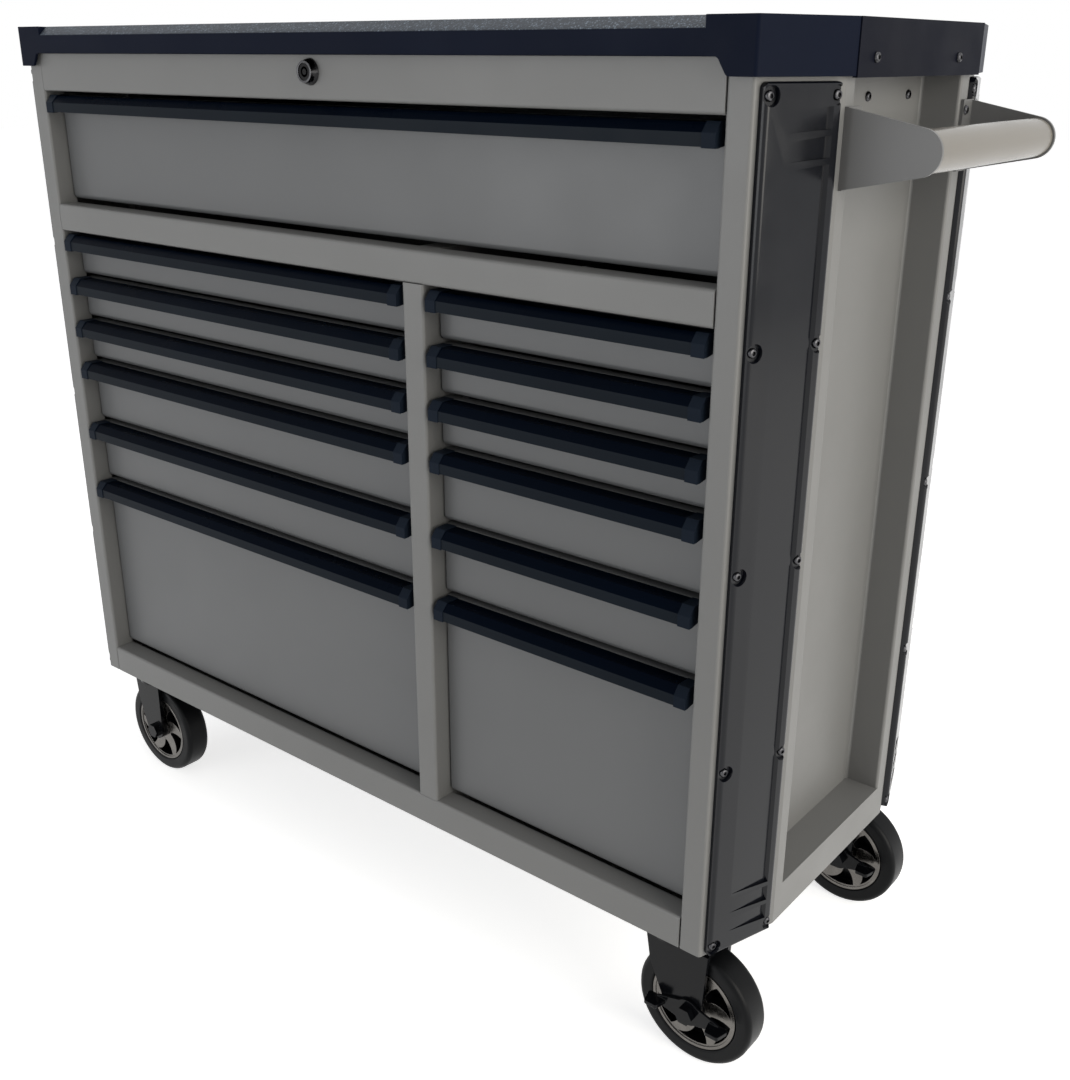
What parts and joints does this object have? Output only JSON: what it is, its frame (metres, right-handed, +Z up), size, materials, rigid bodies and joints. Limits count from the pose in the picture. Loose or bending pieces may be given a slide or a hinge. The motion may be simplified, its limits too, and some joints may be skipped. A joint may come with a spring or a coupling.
{
  "type": "rolling tool chest",
  "caption": "Wide rolling tool chest with bevelled corners, moulded corner guards, side-by-side stacks of drawers, a push handle and casters.",
  "frame": {"origin": "On the floor, under the middle of the whole chest with its handle.", "axes": "+Z is up, the drawers open toward -Y and the push handle is on the +X side."},
  "size_m": [1.068, 0.425, 0.9425],
  "materials": {
    "cabinet": "satin mid-grey enamel",
    "drawer": "satin grey enamel, a little darker than the cabinet",
    "handle": "satin grey enamel",
    "pull": "dark grey coated extrusion with moulded end caps",
    "bright_steel": "zinc plated",
    "black_steel": "black semi-gloss",
    "black_plastic": "black satin moulding",
    "worktop": "fine speckled texture",
    "hub_alloy": "machined face",
    "tyre_rubber": "smooth dark rubber"
  },
  "bodies": {
    "cabinet": {"side_panel_left": "cabinet", "side_panel_right": "cabinet", "front_rails": "cabinet", "back_panel": "cabinet", "base_pan": "cabinet", "centre_partition": "cabinet", "slide_uprights": "cabinet", "handle_brackets": "handle", "handle_tube": "handle", "slide_channels": "bright_steel", "fasteners": "bright_steel", "lock_bezel": "bright_steel", "top_surround": "black_plastic", "top_corner_caps": "black_plastic", "top_end_trims": "black_plastic", "corner_guards": "black_plastic", "worktop_mat": "worktop", "caster_plates": "black_steel", "fixed_forks": "black_steel"},
    "lock_cylinder": {"lock_cylinder": "black_steel"},
    "lock_bar": {"lock_bar": "bright_steel"},
    "swivel_front": {"swivel_fork_front": "black_steel"},
    "swivel_rear": {"swivel_fork_rear": "black_steel"},
    "brake_front": {"brake_pedal_front": "black_steel"},
    "brake_rear": {"brake_pedal_rear": "black_steel"},
    "wheel_front_right": {"hub_front_right": "hub_alloy", "tyre_front_right": "tyre_rubber"},
    "wheel_rear_right": {"hub_rear_right": "hub_alloy", "tyre_rear_right": "tyre_rubber"},
    "wheel_front_left": {"hub_front_left": "hub_alloy", "tyre_front_left": "tyre_rubber"},
    "wheel_rear_left": {"hub_rear_left": "hub_alloy", "tyre_rear_left": "tyre_rubber"},
    "drawer_top": {"tray_top": "drawer", "pull_top": "pull"},
    "drawer_left_1": {"tray_left_1": "drawer", "pull_left_1": "pull"},
    "drawer_left_2": {"tray_left_2": "drawer", "pull_left_2": "pull"},
    "drawer_left_3": {"tray_left_3": "drawer", "pull_left_3": "pull"},
    "drawer_left_4": {"tray_left_4": "drawer", "pull_left_4": "pull"},
    "drawer_left_5": {"tray_left_5": "drawer", "pull_left_5": "pull"},
    "drawer_left_6": {"tray_left_6": "drawer", "pull_left_6": "pull"},
    "drawer_right_1": {"tray_right_1": "drawer", "pull_right_1": "pull"},
    "drawer_right_2": {"tray_right_2": "drawer", "pull_right_2": "pull"},
    "drawer_right_3": {"tray_right_3": "drawer", "pull_right_3": "pull"},
    "drawer_right_4": {"tray_right_4": "drawer", "pull_right_4": "pull"},
    "drawer_right_5": {"tray_right_5": "drawer", "pull_right_5": "pull"},
    "drawer_right_6": {"tray_right_6": "drawer", "pull_right_6": "pull"}
  },
  "joints": [
    {"name": "drawer_top_slide", "type": "slide", "parent": "cabinet", "child": "drawer_top", "axis": [0, -1, 0], "range_m": [0, 0.3]},
    {"name": "drawer_left_1_slide", "type": "slide", "parent": "cabinet", "child": "drawer_left_1", "axis": [0, -1, 0], "range_m": [0, 0.3]},
    {"name": "drawer_left_2_slide", "type": "slide", "parent": "cabinet", "child": "drawer_left_2", "axis": [0, -1, 0], "range_m": [0, 0.3]},
    {"name": "drawer_left_3_slide", "type": "slide", "parent": "cabinet", "child": "drawer_left_3", "axis": [0, -1, 0], "range_m": [0, 0.3]},
    {"name": "drawer_left_4_slide", "type": "slide", "parent": "cabinet", "child": "drawer_left_4", "axis": [0, -1, 0], "range_m": [0, 0.3]},
    {"name": "drawer_left_5_slide", "type": "slide", "parent": "cabinet", "child": "drawer_left_5", "axis": [0, -1, 0], "range_m": [0, 0.3]},
    {"name": "drawer_left_6_slide", "type": "slide", "parent": "cabinet", "child": "drawer_left_6", "axis": [0, -1, 0], "range_m": [0, 0.3]},
    {"name": "drawer_right_1_slide", "type": "slide", "parent": "cabinet", "child": "drawer_right_1", "axis": [0, -1, 0], "range_m": [0, 0.3]},
    {"name": "drawer_right_2_slide", "type": "slide", "parent": "cabinet", "child": "drawer_right_2", "axis": [0, -1, 0], "range_m": [0, 0.3]},
    {"name": "drawer_right_3_slide", "type": "slide", "parent": "cabinet", "child": "drawer_right_3", "axis": [0, -1, 0], "range_m": [0, 0.3]},
    {"name": "drawer_right_4_slide", "type": "slide", "parent": "cabinet", "child": "drawer_right_4", "axis": [0, -1, 0], "range_m": [0, 0.3]},
    {"name": "drawer_right_5_slide", "type": "slide", "parent": "cabinet", "child": "drawer_right_5", "axis": [0, -1, 0], "range_m": [0, 0.3]},
    {"name": "drawer_right_6_slide", "type": "slide", "parent": "cabinet", "child": "drawer_right_6", "axis": [0, -1, 0], "range_m": [0, 0.3]},
    {"name": "lock_turn", "type": "hinge", "parent": "cabinet", "child": "lock_cylinder", "pos_m": [-0.02845, -0.205, 0.9006], "axis": [0, 1, 0], "range_deg": [0, 90]},
    {"name": "lock_bar_slide", "type": "slide", "parent": "cabinet", "child": "lock_bar", "axis": [0, 0, -1], "range_m": [0, 0.0045]},
    {"name": "swivel_front_turn", "type": "hinge", "parent": "cabinet", "child": "swivel_front", "pos_m": [0.38155, -0.16, 0.14], "axis": [0, 0, 1], "continuous": true},
    {"name": "brake_front_rock", "type": "hinge", "parent": "swivel_front", "child": "brake_front", "pos_m": [0.40855, -0.185, 0.0625], "axis": [0, 1, 0], "range_deg": [-12, 12]},
    {"name": "wheel_front_right_spin", "type": "hinge", "parent": "swivel_front", "child": "wheel_front_right", "pos_m": [0.40855, -0.16, 0.0625], "axis": [0, 1, 0], "continuous": true},
    {"name": "wheel_front_left_spin", "type": "hinge", "parent": "cabinet", "child": "wheel_front_left", "pos_m": [-0.43845, -0.16, 0.0625], "axis": [0, 1, 0], "continuous": true},
    {"name": "swivel_rear_turn", "type": "hinge", "parent": "cabinet", "child": "swivel_rear", "pos_m": [0.38155, 0.16, 0.14], "axis": [0, 0, 1], "continuous": true},
    {"name": "brake_rear_rock", "type": "hinge", "parent": "swivel_rear", "child": "brake_rear", "pos_m": [0.40855, 0.135, 0.0625], "axis": [0, 1, 0], "range_deg": [-12, 12]},
    {"name": "wheel_rear_right_spin", "type": "hinge", "parent": "swivel_rear", "child": "wheel_rear_right", "pos_m": [0.40855, 0.16, 0.0625], "axis": [0, 1, 0], "continuous": true},
    {"name": "wheel_rear_left_spin", "type": "hinge", "parent": "cabinet", "child": "wheel_rear_left", "pos_m": [-0.43845, 0.16, 0.0625], "axis": [0, 1, 0], "continuous": true}
  ],
  "couplings": [
    {"joint": "lock_turn", "follows": "lock_bar_slide", "rad_per_m": 349.05}
  ]
}
